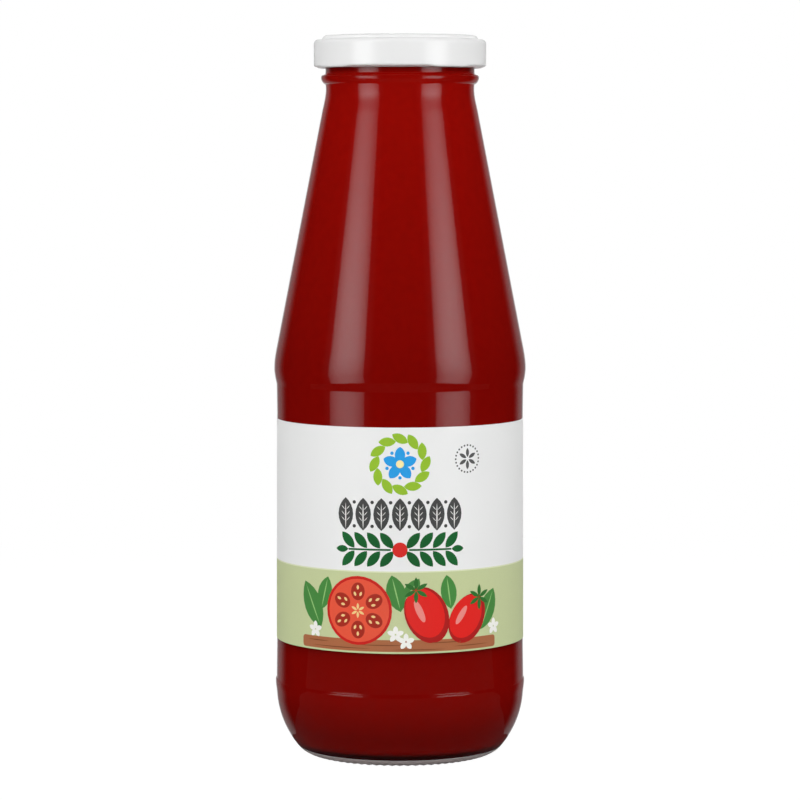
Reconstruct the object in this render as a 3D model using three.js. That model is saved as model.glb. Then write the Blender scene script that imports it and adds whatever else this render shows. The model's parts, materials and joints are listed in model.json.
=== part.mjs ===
// A tall clear glass bottle of passata with a white four-lug twist-off cap and a paper label.
// Millimetres, +Z up, the bottle stands on the origin and its front faces -Y.

import * as THREE from 'three';

// Driving dimensions of the whole
const SIDES = 56;
const CONTACT_GAP = 0.3;

// Glass: foot, heel and the two raised rings that guard the label
const FOOT = { inner: 25.8, outer: 27.93, bevel: 1.0, puntRise: 2.2, puntSag: 0.5 };
const HEEL = {
  radius: 40.4, height: 21.6, sweepRadius: 29.5, cornerRadius: 7.2, topDeg: 4, topSlope: 0.06,
};
const LOWER_RING = { height: 23.35, radius: 40.7, reach: 2.7 };
const PANEL = { bottomRadius: 40.22, bottom: 37.3, topRadius: 40.02, top: 111.3, step: 0.8 };
const LEDGE = { radius: 40.12, height: 119.8 };
const UPPER_RING = { height: 125.97, radius: 40.93 };

// Glass: cone, neck and mouth
const CONE = { bottomRadius: 39.66, bottomHeight: 135.05, topRadius: 25.24, topHeight: 208.97 };
const NECK = { radius: 23.97, height: 216.45, wall: 2.3 };
const NECK_RING = { height: 220.24, radius: 25.53, bendRadius: 2.49, sweepDeg: 66 };
const MOUTH = { radius: 24.1, height: 231.69, lipRadius: 0.9 };
const THREAD = {
  starts: 4, spanDeg: 64, height: 226.75, rise: 0.9, depth: 0.95, halfFoot: 1.3, halfCrest: 0.6, fade: 0.25,
};

// Glass: inside
const WALL = 2.9;
const FLOOR = { height: 4.8, centreHeight: 6.0, cornerRadius: 4.5 };
const INNER_SHOULDER_HEIGHT = 122.9;

// Passata
const FILL_HEIGHT = 228.2;

// Cap
const CAP = { radius: 27.9, sheet: 0.5, bottom: 223.23, shoulder: 232.54, edgeRadius: 1.55, panel: 232.24 };
const CURL = { height: 1.6, depth: 1.65, tuck: 0.4, round: 0.3, roundRise: 0.22 };
const LUG = { count: 4, firstDeg: -8, flatHalfDeg: 26, endHalfDeg: 35, lift: 0.36, reach: 1.1 };
const STACKING_BEAD = {
  radius: 23.75, height: 233.82, halfWidth: 1.45, innerFoot: 0.4, turnsDeg: [60, 90, 120, 150],
};
const LINER = { inner: 21.1, ramp: 0.3, underside: 231.99, chamfer: 0.7 };
const BUTTON = { radius: 10.2, edge: 1.4, rise: 0.45, dip: 0.25 };

// Label
const LABEL = { bottom: 38.05, top: 109.85, paper: 0.14, glue: 0.06 };

/** An outline in the plane of radius and height, drawn from the axis round the section. */
class Outline {
  constructor(radius, height) {
    this.points = [new THREE.Vector2(radius, height)];
  }

  lineTo(radius, height) {
    this.points.push(new THREE.Vector2(radius, height));
    return this;
  }

  /** A round stretch about a centre, between two angles counted from straight outwards. */
  arc(centreRadius, centreHeight, bend, fromDeg, toDeg, steps) {
    const from = THREE.MathUtils.degToRad(fromDeg);
    const to = THREE.MathUtils.degToRad(toDeg);
    const curve = new THREE.EllipseCurve(centreRadius, centreHeight, bend, bend, from, to, to < from);
    return this.append(curve.getPoints(steps));
  }

  /** A soft S between two slopes, each given as change of radius for each unit of height. */
  easeTo(radius, height, slopeHere, slopeThere, steps) {
    const start = this.points[this.points.length - 1];
    const third = (height - start.y) / 3;
    const curve = new THREE.CubicBezierCurve(
      start,
      new THREE.Vector2(start.x + slopeHere * third, start.y + third),
      new THREE.Vector2(radius - slopeThere * third, height - third),
      new THREE.Vector2(radius, height),
    );
    return this.append(curve.getPoints(steps));
  }

  append(points) {
    const last = this.points[this.points.length - 1];
    const repeats = points[0].distanceTo(last) < 1e-6;
    this.points.push(...points.slice(repeats ? 1 : 0));
    return this;
  }
}

/** Turns an outline round the vertical axis; reshape may move a point by its angle from the front. */
function turned(points, reshape = null) {
  const geometry = new THREE.LatheGeometry(points, SIDES);
  geometry.rotateX(Math.PI / 2);
  if (reshape) {
    const position = geometry.getAttribute('position');
    for (let i = 0; i < position.count; i += 1) {
      const side = Math.floor(i / points.length) % SIDES;
      const angle = (side / SIDES) * 2 * Math.PI;
      const moved = reshape(i % points.length, angle);
      position.setXYZ(i, moved.x * Math.sin(angle), -moved.x * Math.cos(angle), moved.y);
    }
    geometry.computeVertexNormals();
  }
  return geometry;
}

/** How far an angle is from the nearest of several equally spaced places, in degrees. */
function nearestOf(angle, count, firstDeg) {
  const pitch = 360 / count;
  const offset = THREE.MathUtils.euclideanModulo(THREE.MathUtils.radToDeg(angle) - firstDeg, pitch);
  return offset > pitch / 2 ? offset - pitch : offset;
}

const coneSlope = (CONE.topRadius - CONE.bottomRadius) / (CONE.topHeight - CONE.bottomHeight);

/** The outside of the glass, from the middle of the punt up to the neck. */
function outsideOutline() {
  const sweepCentre = HEEL.radius - HEEL.sweepRadius;
  const heelDeg = THREE.MathUtils.radToDeg(
    Math.asin((HEEL.height - HEEL.cornerRadius) / (HEEL.sweepRadius - HEEL.cornerRadius)),
  );
  return new Outline(0, FOOT.puntRise)
    .lineTo(FOOT.inner / 2, FOOT.puntRise - FOOT.puntSag)
    .lineTo(FOOT.inner - FOOT.bevel, FOOT.puntSag)
    .lineTo(FOOT.inner, 0)
    .lineTo(FOOT.outer, 0)
    .arc(FOOT.outer, HEEL.cornerRadius, HEEL.cornerRadius, -90, -heelDeg, 4)
    .arc(sweepCentre, HEEL.height, HEEL.sweepRadius, -heelDeg, -HEEL.topDeg, 6)
    .easeTo(LOWER_RING.radius, LOWER_RING.height, HEEL.topSlope, 0, 3)
    .easeTo(HEEL.radius, LOWER_RING.height + LOWER_RING.reach, 0, 0, 3)
    .lineTo(HEEL.radius, PANEL.bottom)
    .lineTo(PANEL.bottomRadius, PANEL.bottom + PANEL.step)
    .lineTo(PANEL.topRadius, PANEL.top)
    .lineTo(LEDGE.radius, LEDGE.height)
    .easeTo(UPPER_RING.radius, UPPER_RING.height, 0, 0, 4)
    .easeTo(CONE.bottomRadius, CONE.bottomHeight, 0, coneSlope, 4)
    .lineTo(CONE.topRadius, CONE.topHeight)
    .easeTo(NECK.radius, NECK.height, coneSlope, 0, 3);
}

/** The inside of the bottle, from the middle of its floor up to a height, kept clear by a gap. */
function insideOutline(gap, top) {
  const sweepCentre = HEEL.radius - HEEL.sweepRadius;
  const sweepRadius = HEEL.sweepRadius - WALL - gap;
  const cornerRadius = FLOOR.cornerRadius - gap;
  const cornerHeight = FLOOR.height + FLOOR.cornerRadius;
  const heelDeg = THREE.MathUtils.radToDeg(
    Math.asin((HEEL.height - cornerHeight) / (sweepRadius - cornerRadius)),
  );
  const heelCosine = Math.cos(THREE.MathUtils.degToRad(heelDeg));
  const cornerCentre = sweepCentre + (sweepRadius - cornerRadius) * heelCosine;
  const wallRadius = sweepCentre + sweepRadius;
  return new Outline(0, FLOOR.centreHeight + gap)
    .lineTo(cornerCentre, FLOOR.height + gap)
    .arc(cornerCentre, cornerHeight, cornerRadius, -90, -heelDeg, 3)
    .arc(sweepCentre, HEEL.height, sweepRadius, -heelDeg, 0, 4)
    .lineTo(wallRadius, INNER_SHOULDER_HEIGHT)
    .easeTo(CONE.bottomRadius - WALL - gap, CONE.bottomHeight, 0, coneSlope, 3)
    .lineTo(CONE.topRadius - WALL - gap, CONE.topHeight)
    .easeTo(NECK.radius - NECK.wall - gap, NECK.height, coneSlope, 0, 2)
    .lineTo(MOUTH.radius - NECK.wall - gap, top);
}

/** The glass: a thick-walled shell, open at the mouth, with four short thread ridges under the cap. */
function bottleGlass() {
  const ringCentre = NECK_RING.radius - NECK_RING.bendRadius;
  const innerRadius = MOUTH.radius - NECK.wall;
  const lipHeight = MOUTH.height - MOUTH.lipRadius;
  const outline = outsideOutline()
    .arc(ringCentre, NECK_RING.height, NECK_RING.bendRadius, -NECK_RING.sweepDeg, NECK_RING.sweepDeg, 6)
    .lineTo(MOUTH.radius, THREAD.height - THREAD.halfFoot);
  const crestRow = outline.points.length;
  outline
    .lineTo(MOUTH.radius, THREAD.height - THREAD.halfCrest)
    .lineTo(MOUTH.radius, THREAD.height + THREAD.halfCrest)
    .lineTo(MOUTH.radius, THREAD.height + THREAD.halfFoot)
    .arc(MOUTH.radius - MOUTH.lipRadius, lipHeight, MOUTH.lipRadius, 0, 90, 3)
    .arc(innerRadius + MOUTH.lipRadius, lipHeight, MOUTH.lipRadius, 90, 180, 3);
  const inside = insideOutline(0, lipHeight).points.reverse();
  outline.append(inside);
  const threadRows = [crestRow - 1, crestRow, crestRow + 1, crestRow + 2];
  return turned(outline.points, (row, angle) => {
    const point = outline.points[row].clone();
    if (threadRows.includes(row)) {
      const off = nearestOf(angle, THREAD.starts, LUG.firstDeg);
      const along = off / (THREAD.spanDeg / 2);
      const ridge = THREE.MathUtils.clamp((1 - Math.abs(along)) / THREAD.fade, 0, 1);
      const isCrest = row === crestRow || row === crestRow + 1;
      point.x += isCrest ? THREAD.depth * ridge : 0;
      point.y += (THREAD.rise / 2) * along * ridge;
    }
    return point;
  });
}

/** The passata: everything inside the glass up to the level shown, which the cap hides. */
function passata() {
  const outline = insideOutline(CONTACT_GAP, FILL_HEIGHT).lineTo(0, FILL_HEIGHT);
  return turned(outline.points);
}

/** The lacquered tinplate cap: liner side, skirt, curl with four lugs, shoulder, bead and panel. */
function cap() {
  const skirtInner = CAP.radius - CAP.sheet;
  const curlTop = CAP.bottom + CURL.height;
  const curlBend = CURL.height / 2;
  const curlInner = CAP.radius - CURL.depth;
  const edgeCentre = CAP.radius - CAP.edgeRadius;
  const edgeHeight = CAP.shoulder - CAP.edgeRadius;
  const buttonFoot = BUTTON.radius + BUTTON.edge;
  const underside = CAP.panel - CAP.sheet;
  const outline = new Outline(0, underside + BUTTON.rise - BUTTON.dip)
    .lineTo(BUTTON.radius, underside + BUTTON.rise)
    .lineTo(buttonFoot, underside)
    .lineTo(LINER.inner, underside)
    .lineTo(LINER.inner + LINER.ramp, LINER.underside)
    .lineTo(skirtInner - LINER.chamfer, LINER.underside)
    .lineTo(skirtInner, LINER.underside - LINER.chamfer)
    .lineTo(skirtInner, curlTop + CURL.tuck);
  const firstCurlRow = outline.points.length;
  outline
    .lineTo(curlInner + CURL.tuck, curlTop)
    .lineTo(curlInner, curlTop - curlBend)
    .lineTo(curlInner + CURL.round, CAP.bottom + CURL.roundRise)
    .lineTo(curlInner + CURL.depth / 2, CAP.bottom);
  const lastInwardRow = outline.points.length - 2;
  outline
    .lineTo(CAP.radius - CURL.round, CAP.bottom + CURL.roundRise)
    .lineTo(CAP.radius, CAP.bottom + curlBend);
  const lastCurlRow = outline.points.length - 1;
  outline
    .lineTo(CAP.radius, curlTop + CURL.tuck)
    .arc(edgeCentre, edgeHeight, CAP.edgeRadius, 0, 90, 4)
    .lineTo(STACKING_BEAD.radius + STACKING_BEAD.halfWidth, CAP.shoulder);
  const beadRise = STACKING_BEAD.height - CAP.shoulder;
  const innerRise = STACKING_BEAD.height - CAP.panel;
  for (const turn of STACKING_BEAD.turnsDeg) {
    const across = Math.cos(THREE.MathUtils.degToRad(turn));
    const up = Math.sin(THREE.MathUtils.degToRad(turn));
    const height = turn < 90 ? CAP.shoulder + beadRise * up : CAP.panel + innerRise * up;
    outline.lineTo(STACKING_BEAD.radius + STACKING_BEAD.halfWidth * across, height);
  }
  outline
    .lineTo(STACKING_BEAD.radius - STACKING_BEAD.halfWidth - STACKING_BEAD.innerFoot, CAP.panel)
    .lineTo(buttonFoot, CAP.panel)
    .lineTo(BUTTON.radius, CAP.panel + BUTTON.rise)
    .lineTo(0, CAP.panel + BUTTON.rise - BUTTON.dip);
  return turned(outline.points, (row, angle) => {
    const point = outline.points[row].clone();
    if (row >= firstCurlRow && row <= lastCurlRow) {
      const off = Math.abs(nearestOf(angle, LUG.count, LUG.firstDeg));
      const pressed = 1 - THREE.MathUtils.smoothstep(off, LUG.flatHalfDeg, LUG.endHalfDeg);
      point.x -= row <= lastInwardRow ? LUG.reach * pressed : 0;
      point.y += row > firstCurlRow ? LUG.lift * pressed : 0;
    }
    return point;
  });
}

/** The paper label, wrapped once round the straight part of the body. */
function label() {
  const bottomInner = PANEL.bottomRadius + LABEL.glue;
  const topInner = PANEL.topRadius + LABEL.glue;
  const outline = new Outline(bottomInner, LABEL.bottom)
    .lineTo(bottomInner + LABEL.paper, LABEL.bottom)
    .lineTo(topInner + LABEL.paper, LABEL.top)
    .lineTo(topInner, LABEL.top)
    .lineTo(bottomInner, LABEL.bottom);
  return turned(outline.points);
}

/** One named sub-part with its own material. */
function subPart(name, geometry, colour, roughness, metalness) {
  const material = new THREE.MeshStandardMaterial({ color: colour, roughness, metalness });
  const mesh = new THREE.Mesh(geometry, material);
  mesh.name = name;
  return mesh;
}

const bottle = new THREE.Group();
bottle.name = 'passata_bottle';
bottle.add(
  subPart('bottle_glass', bottleGlass(), 0xc9d4cf, 0.05, 0),
  subPart('passata', passata(), 0x8a1408, 0.4, 0),
  subPart('cap', cap(), 0xf2f2f0, 0.3, 0.1),
  subPart('label', label(), 0xe9eae4, 0.6, 0),
);

export default bottle;
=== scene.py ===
# A bottle of passata: clear glass filled with sieved tomato, shut by a white twist-off cap and
# wrapped in a printed paper label. Metres; the bottle stands on the origin and its front faces -Y.

import json
import math

import bpy
import mathutils
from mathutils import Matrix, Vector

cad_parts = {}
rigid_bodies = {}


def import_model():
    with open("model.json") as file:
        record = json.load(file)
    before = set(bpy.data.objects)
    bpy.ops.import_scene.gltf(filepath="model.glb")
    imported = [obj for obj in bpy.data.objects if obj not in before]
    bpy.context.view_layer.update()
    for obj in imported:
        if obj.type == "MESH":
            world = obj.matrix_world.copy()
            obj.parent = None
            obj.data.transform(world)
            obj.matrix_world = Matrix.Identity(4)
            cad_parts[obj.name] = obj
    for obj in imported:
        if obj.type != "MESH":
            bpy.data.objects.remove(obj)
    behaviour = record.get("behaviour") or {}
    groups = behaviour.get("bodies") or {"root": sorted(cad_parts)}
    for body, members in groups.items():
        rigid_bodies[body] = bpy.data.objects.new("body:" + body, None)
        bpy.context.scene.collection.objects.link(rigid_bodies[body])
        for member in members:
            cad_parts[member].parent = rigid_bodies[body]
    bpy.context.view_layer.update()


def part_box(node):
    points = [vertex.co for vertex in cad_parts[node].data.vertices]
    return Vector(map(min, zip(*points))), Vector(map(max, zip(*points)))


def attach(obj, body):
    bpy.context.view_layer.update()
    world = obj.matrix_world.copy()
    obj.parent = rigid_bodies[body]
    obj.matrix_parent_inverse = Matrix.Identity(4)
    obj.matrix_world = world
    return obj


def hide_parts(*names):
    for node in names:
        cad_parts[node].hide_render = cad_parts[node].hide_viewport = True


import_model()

# The bottle: clear flint glass, blown in a mould of two halves and fire-polished. It stands on a
# knurled foot, two raised rings keep knocks off the label, and a long cone runs up to the neck
# ring and to the mouth, whose four thread ridges the cap turns onto.
MM = 0.001
TOUCHING = 0.001 * MM
glass_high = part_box("bottle_glass")[1]
GLASS_COLUMNS = 288
GUARD_ROW = 0.25 * MM
GUARD_SHARE = 0.2

LIP_HEIGHT = glass_high.z
LIP_ROUND = 0.9 * MM
MOUTH_RADIUS = 24.1 * MM
NECK_WALL = 2.3 * MM
NECK_RADIUS = 23.97 * MM
NECK_HEIGHT = 216.45 * MM
NECK_RING_RADIUS = 25.53 * MM
NECK_RING_HEIGHT = 220.24 * MM
NECK_RING_BEND = 2.49 * MM
NECK_RING_SWEEP = 66
NECK_RING_FOOT_SLOPE = 0.05
NECK_RING_TOP_BEND = 0.8 * MM
NECK_FILLET = 0.7 * MM
NECK_FILLET_SLOPE = -2.4
CONE_TOP_RADIUS = 25.24 * MM
CONE_TOP_HEIGHT = 208.97 * MM
CONE_FOOT_RADIUS = 39.66 * MM
CONE_FOOT_HEIGHT = 135.05 * MM
CONE_SLOPE = (CONE_TOP_RADIUS - CONE_FOOT_RADIUS) / (CONE_TOP_HEIGHT - CONE_FOOT_HEIGHT)
UPPER_RING_RADIUS = glass_high.x
UPPER_RING_HEIGHT = 125.97 * MM
UPPER_RING_BREAK = (40.65 * MM, 123.2 * MM)
UPPER_RING_BREAK_SLOPE = 0.15
UPPER_LEDGE = (40.14 * MM, 120.6 * MM)
UPPER_LEDGE_SLOPE = 0.08
PANEL_TOP = (40.02 * MM, 111.3 * MM)
PANEL_FOOT = (40.22 * MM, 38.1 * MM)
HEEL_RADIUS = 40.4 * MM
LOWER_RING_RADIUS = 40.7 * MM
LOWER_RING_HEIGHT = 23.35 * MM
LOWER_RING_EDGE = (40.66 * MM, 24.25 * MM)
LOWER_RING_SLOPE = -0.02
LOWER_RING_TOP = 24.75 * MM
HEEL_HEIGHT = 21.6 * MM
HEEL_SWEEP = 29.5 * MM
HEEL_CORNER = 7.2 * MM
HEEL_TOP_DEG = 4
HEEL_TOP_SLOPE = 0.06
FOOT_OUTER = 27.93 * MM
FOOT_INNER = 25.8 * MM
FOOT_BEVEL = 1.0 * MM
PUNT_RISE = 2.2 * MM
PUNT_EDGE = 0.5 * MM
PUNT_SLOPES = (-4, -0.5)

WALL = 2.9 * MM
FLOOR_HEIGHT = 4.8 * MM
FLOOR_CENTRE = 6.0 * MM
FLOOR_CORNER = 4.5 * MM
INNER_SHOULDER = 122.9 * MM

THREAD_STARTS = 4
THREAD_FIRST_DEG = -8
THREAD_SPAN_DEG = 64
THREAD_HEIGHT = 226.75 * MM
THREAD_RISE = 0.9 * MM
THREAD_DEPTH = 0.95 * MM
THREAD_FOOT = 1.3 * MM
THREAD_CREST = 0.6 * MM
THREAD_FADE = 0.25
THREAD_ROWS = 2 * MM
MOUTH_SKIN = 0.1 * MM

KNURLS = 72
KNURL_DEPTH = 0.28 * MM
KNURL_INSIDE = 25.2 * MM
KNURL_TOP = 2.4 * MM

STIPPLE_TOP = 2.77 * MM

SEAM_WIDTH = 0.22 * MM
SEAM_HEIGHT = 0.05 * MM
SEAM_FOOT = 3.0 * MM


def shade(sharp_deg):
    """Shades the piece smooth, with an edge wherever it turns by more than this."""
    bpy.ops.object.shade_smooth_by_angle(angle=math.radians(sharp_deg))


def start_plane(name):
    """A new piece: a small plane, in edit mode."""
    bpy.ops.object.select_all(action="DESELECT")
    bpy.ops.mesh.primitive_plane_add(size=MM)
    piece = bpy.context.object
    piece.name = piece.data.name = name
    bpy.ops.object.mode_set(mode="EDIT")
    return piece


def start_outline(name, radius, height):
    """A new piece of one vertex, the pen's first point. The pen is a radius and a height."""
    piece = start_plane(name)
    bpy.ops.mesh.merge(type="CENTER")
    bpy.ops.transform.translate(value=(radius, 0, height))
    return piece, (radius, height)


def line_to(pen, radius, height, steps=1):
    """Extrudes the pen along a straight line. Several steps have a short one added at either end,
    so that the bends there are shaded on the short rows only."""
    out, up = radius - pen[0], height - pen[1]
    guard = 0 if steps == 1 else min(GUARD_ROW / math.hypot(out, up), GUARD_SHARE)
    shares = [(1 - 2 * guard) / steps] * steps
    if guard:
        shares = [guard] + shares + [guard]
    for share in shares:
        move = (out * share, 0, up * share)
        bpy.ops.mesh.extrude_region_move(TRANSFORM_OT_translate={"value": move})
    return (radius, height)


def arc_about(pen, centre, degrees, steps):
    """Spins the pen about a centre; a positive turn goes from outwards to upwards."""
    turn = math.radians(degrees)
    bpy.ops.mesh.spin(steps=steps, angle=turn, center=(centre[0], 0, centre[1]), axis=(0, 1, 0))
    out, up = pen[0] - centre[0], pen[1] - centre[1]
    return (
        centre[0] + out * math.cos(turn) - up * math.sin(turn),
        centre[1] + out * math.sin(turn) + up * math.cos(turn),
    )


def ease_to(pen, radius, height, slope_here, slope_there, steps):
    """Extrudes the pen along a soft S, between slopes given as change of radius by height."""
    third = (height - pen[1]) / 3
    leave = pen[0] + slope_here * third
    arrive = radius - slope_there * third
    start = pen
    for step in range(1, steps + 1):
        t = step / steps
        s = 1 - t
        along = s**3 * start[0] + 3 * s * s * t * leave + 3 * s * t * t * arrive + t**3 * radius
        pen = line_to(pen, along, start[1] + (height - start[1]) * t)
    return pen


def inside_wall(pen, sunk):
    """Draws the bottle's inside from its floor to the neck, sunk into the glass by that much."""
    sweep = HEEL_SWEEP - WALL + sunk
    corner = FLOOR_CORNER + sunk
    centre = HEEL_RADIUS - HEEL_SWEEP
    corner_height = FLOOR_HEIGHT + FLOOR_CORNER
    turn = math.asin((HEEL_HEIGHT - corner_height) / (sweep - corner))
    corner_centre = centre + (sweep - corner) * math.cos(turn)
    turn = math.degrees(turn)
    pen = line_to(pen, corner_centre, FLOOR_HEIGHT - sunk, steps=4)
    pen = arc_about(pen, (corner_centre, corner_height), 90 - turn, steps=8)
    pen = arc_about(pen, (centre, HEEL_HEIGHT), turn, steps=8)
    pen = line_to(pen, centre + sweep, INNER_SHOULDER, steps=4)
    foot_radius = CONE_FOOT_RADIUS - WALL + sunk
    pen = ease_to(pen, foot_radius, CONE_FOOT_HEIGHT, 0, CONE_SLOPE, steps=6)
    pen = line_to(pen, CONE_TOP_RADIUS - WALL + sunk, CONE_TOP_HEIGHT, steps=4)
    return ease_to(pen, NECK_RADIUS - NECK_WALL + sunk, NECK_HEIGHT, CONE_SLOPE, 0, steps=5)


def turn_full(columns):
    """Spins the finished outline round the bottle's axis into a closed body."""
    bpy.ops.mesh.select_all(action="SELECT")
    bpy.ops.mesh.spin(steps=columns, angle=math.tau, center=(0, 0, 0), axis=(0, 0, 1))
    bpy.ops.mesh.select_all(action="SELECT")
    bpy.ops.mesh.remove_doubles(threshold=TOUCHING)
    bpy.ops.mesh.normals_make_consistent(inside=False)
    bpy.ops.object.mode_set(mode="OBJECT")
    bpy.ops.object.transform_apply(location=True, rotation=True, scale=True)


def choose(piece, wanted):
    """Selects the vertices that are wanted, and leaves the piece in edit mode."""
    bpy.ops.object.mode_set(mode="EDIT")
    bpy.ops.mesh.select_mode(type="VERT")
    bpy.ops.mesh.select_all(action="DESELECT")
    bpy.ops.object.mode_set(mode="OBJECT")
    for vertex in piece.data.vertices:
        vertex.select = wanted(vertex)
    bpy.ops.object.mode_set(mode="EDIT")


def push(piece, reach, share_at, direction="NORMAL"):
    """Moves the surface by up to reach, in the share that each place asks for."""
    weights = piece.vertex_groups.new(name="share")
    for vertex in piece.data.vertices:
        share = share_at(vertex.co)
        if share > 0:
            weights.add([vertex.index], share, "REPLACE")
    displace = piece.modifiers.new("push", "DISPLACE")
    displace.direction = direction
    displace.strength = reach
    displace.mid_level = 0
    displace.vertex_group = weights.name
    bpy.ops.object.modifier_apply(modifier=displace.name)
    piece.vertex_groups.clear()


def from_front(place):
    """The angle of a place round the bottle, in degrees counted from the front."""
    return math.degrees(math.atan2(place.x, -place.y))


def off_nearest(place, count, first_deg):
    """How far a place is from the nearest of several places spread evenly round, in degrees."""
    pitch = 360 / count
    return (from_front(place) - first_deg + pitch / 2) % pitch - pitch / 2


def smooth(share):
    """A share from 0 to 1 with soft ends."""
    share = min(max(share, 0), 1)
    return share * share * (3 - 2 * share)


glass, pen = start_outline("glass_bottle", 0, FLOOR_CENTRE)
pen = inside_wall(pen, 0)
pen = line_to(pen, MOUTH_RADIUS - NECK_WALL, LIP_HEIGHT - LIP_ROUND, steps=3)
pen = arc_about(pen, (pen[0] + LIP_ROUND, pen[1]), -90, steps=6)
pen = line_to(pen, MOUTH_RADIUS - LIP_ROUND, LIP_HEIGHT)
pen = arc_about(pen, (pen[0], LIP_HEIGHT - LIP_ROUND), -90, steps=6)
thread_foot_height = THREAD_HEIGHT - THREAD_RISE / 2
for row_height in (THREAD_FOOT, THREAD_CREST, -THREAD_CREST, -THREAD_FOOT):
    pen = line_to(pen, MOUTH_RADIUS, thread_foot_height + row_height)
ring_top = (NECK_RING_RADIUS - NECK_RING_TOP_BEND, NECK_RING_HEIGHT)
fillet_foot = NECK_RING_HEIGHT + NECK_RING_TOP_BEND
pen = line_to(pen, MOUTH_RADIUS, fillet_foot + NECK_FILLET, steps=2)
pen = ease_to(pen, ring_top[0], fillet_foot, 0, NECK_FILLET_SLOPE, steps=6)
pen = arc_about(pen, ring_top, -90, steps=10)
pen = arc_about(pen, (pen[0] - NECK_RING_BEND, NECK_RING_HEIGHT), -NECK_RING_SWEEP, steps=10)
pen = ease_to(pen, NECK_RADIUS, NECK_HEIGHT, NECK_RING_FOOT_SLOPE, 0, steps=4)
pen = ease_to(pen, CONE_TOP_RADIUS, CONE_TOP_HEIGHT, 0, CONE_SLOPE, steps=9)
pen = line_to(pen, CONE_FOOT_RADIUS, CONE_FOOT_HEIGHT, steps=10)
pen = ease_to(pen, UPPER_RING_RADIUS, UPPER_RING_HEIGHT, CONE_SLOPE, 0, steps=10)
pen = ease_to(pen, *UPPER_RING_BREAK, 0, UPPER_RING_BREAK_SLOPE, steps=6)
pen = ease_to(pen, *UPPER_LEDGE, UPPER_RING_BREAK_SLOPE, UPPER_LEDGE_SLOPE, steps=8)
pen = line_to(pen, *PANEL_TOP, steps=2)
pen = line_to(pen, *PANEL_FOOT, steps=5)
pen = line_to(pen, HEEL_RADIUS, LOWER_RING_TOP, steps=2)
pen = ease_to(pen, *LOWER_RING_EDGE, 0, LOWER_RING_SLOPE, steps=6)
pen = ease_to(pen, LOWER_RING_RADIUS, LOWER_RING_HEIGHT, LOWER_RING_SLOPE, 0, steps=3)
sweep_centre = (HEEL_RADIUS - HEEL_SWEEP, HEEL_HEIGHT)
heel_turn = math.asin((HEEL_HEIGHT - HEEL_CORNER) / (HEEL_SWEEP - HEEL_CORNER))
heel_deg = math.degrees(heel_turn)
top_turn = math.radians(HEEL_TOP_DEG)
heel_top_radius = sweep_centre[0] + HEEL_SWEEP * math.cos(top_turn)
heel_top_height = sweep_centre[1] - HEEL_SWEEP * math.sin(top_turn)
pen = ease_to(pen, heel_top_radius, heel_top_height, 0, HEEL_TOP_SLOPE, steps=6)
pen = arc_about(pen, sweep_centre, HEEL_TOP_DEG - heel_deg, steps=20)
pen = arc_about(pen, (FOOT_OUTER, HEEL_CORNER), heel_deg - 90, steps=16)
pen = line_to(pen, FOOT_INNER, 0, steps=3)
punt_radius = FOOT_INNER - FOOT_BEVEL
pen = ease_to(pen, punt_radius, PUNT_EDGE, *PUNT_SLOPES, steps=4)
punt_bend = (punt_radius**2 / (PUNT_RISE - PUNT_EDGE) + PUNT_RISE - PUNT_EDGE) / 2
punt_deg = math.degrees(math.asin(punt_radius / punt_bend))
pen = arc_about(pen, (0, PUNT_RISE - punt_bend), punt_deg, steps=10)
turn_full(GLASS_COLUMNS)


def on_thread(place):
    """How much of a thread ridge there is at a place on the mouth, and how far along it."""
    height = place.z - thread_foot_height
    outside = math.hypot(place.x, place.y) > MOUTH_RADIUS - MOUTH_SKIN
    along = off_nearest(place, THREAD_STARTS, THREAD_FIRST_DEG) / (THREAD_SPAN_DEG / 2)
    ridge = min(max((1 - abs(along)) / THREAD_FADE, 0), 1)
    return ridge if outside and abs(height) < THREAD_ROWS else 0, along


def thread_crest(place):
    """The crest rows of the thread, which stand out from the mouth."""
    crest = abs(place.z - thread_foot_height) < (THREAD_CREST + THREAD_FOOT) / 2
    return on_thread(place)[0] if crest else 0


def thread_rise(place):
    """The thread climbs along its length."""
    ridge, along = on_thread(place)
    return ridge * (1 + along) / 2


def knurl_valley(place):
    """The foot touches only on the crests of its knurls; this is how deep the valleys are."""
    outside = smooth((math.hypot(place.x, place.y) - KNURL_INSIDE) / (FOOT_INNER - KNURL_INSIDE))
    low = smooth((KNURL_TOP - place.z) / KNURL_TOP)
    valley = (1 - math.cos(math.radians(from_front(place)) * KNURLS)) / 2
    return outside * low * valley


push(glass, THREAD_DEPTH, thread_crest)
push(glass, THREAD_RISE, thread_rise, "Z")
push(glass, KNURL_DEPTH, knurl_valley, "Z")


def on_seam(vertex):
    """The two meridians where the halves of the mould meet, on the outside of the glass."""
    outside = vertex.normal.x * vertex.co.x > 0
    below_mouth = SEAM_FOOT < vertex.co.z < NECK_RING_HEIGHT + NECK_RING_BEND
    return abs(vertex.co.y) < TOUCHING and outside and below_mouth


choose(glass, on_seam)
bpy.ops.mesh.bevel(offset=SEAM_WIDTH, segments=2, affect="EDGES")
bpy.ops.mesh.select_less()
bpy.ops.transform.shrink_fatten(value=SEAM_HEIGHT)
bpy.ops.object.mode_set(mode="OBJECT")
shade(sharp_deg=40)


def new_material(name, values):
    """A material whose Principled shader has the given values, and that shader's sockets."""
    material = bpy.data.materials.new(name)
    material.use_nodes = True
    inputs = material.node_tree.nodes["Principled BSDF"].inputs
    for socket, value in values.items():
        inputs[socket].default_value = value
    return material, inputs


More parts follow.
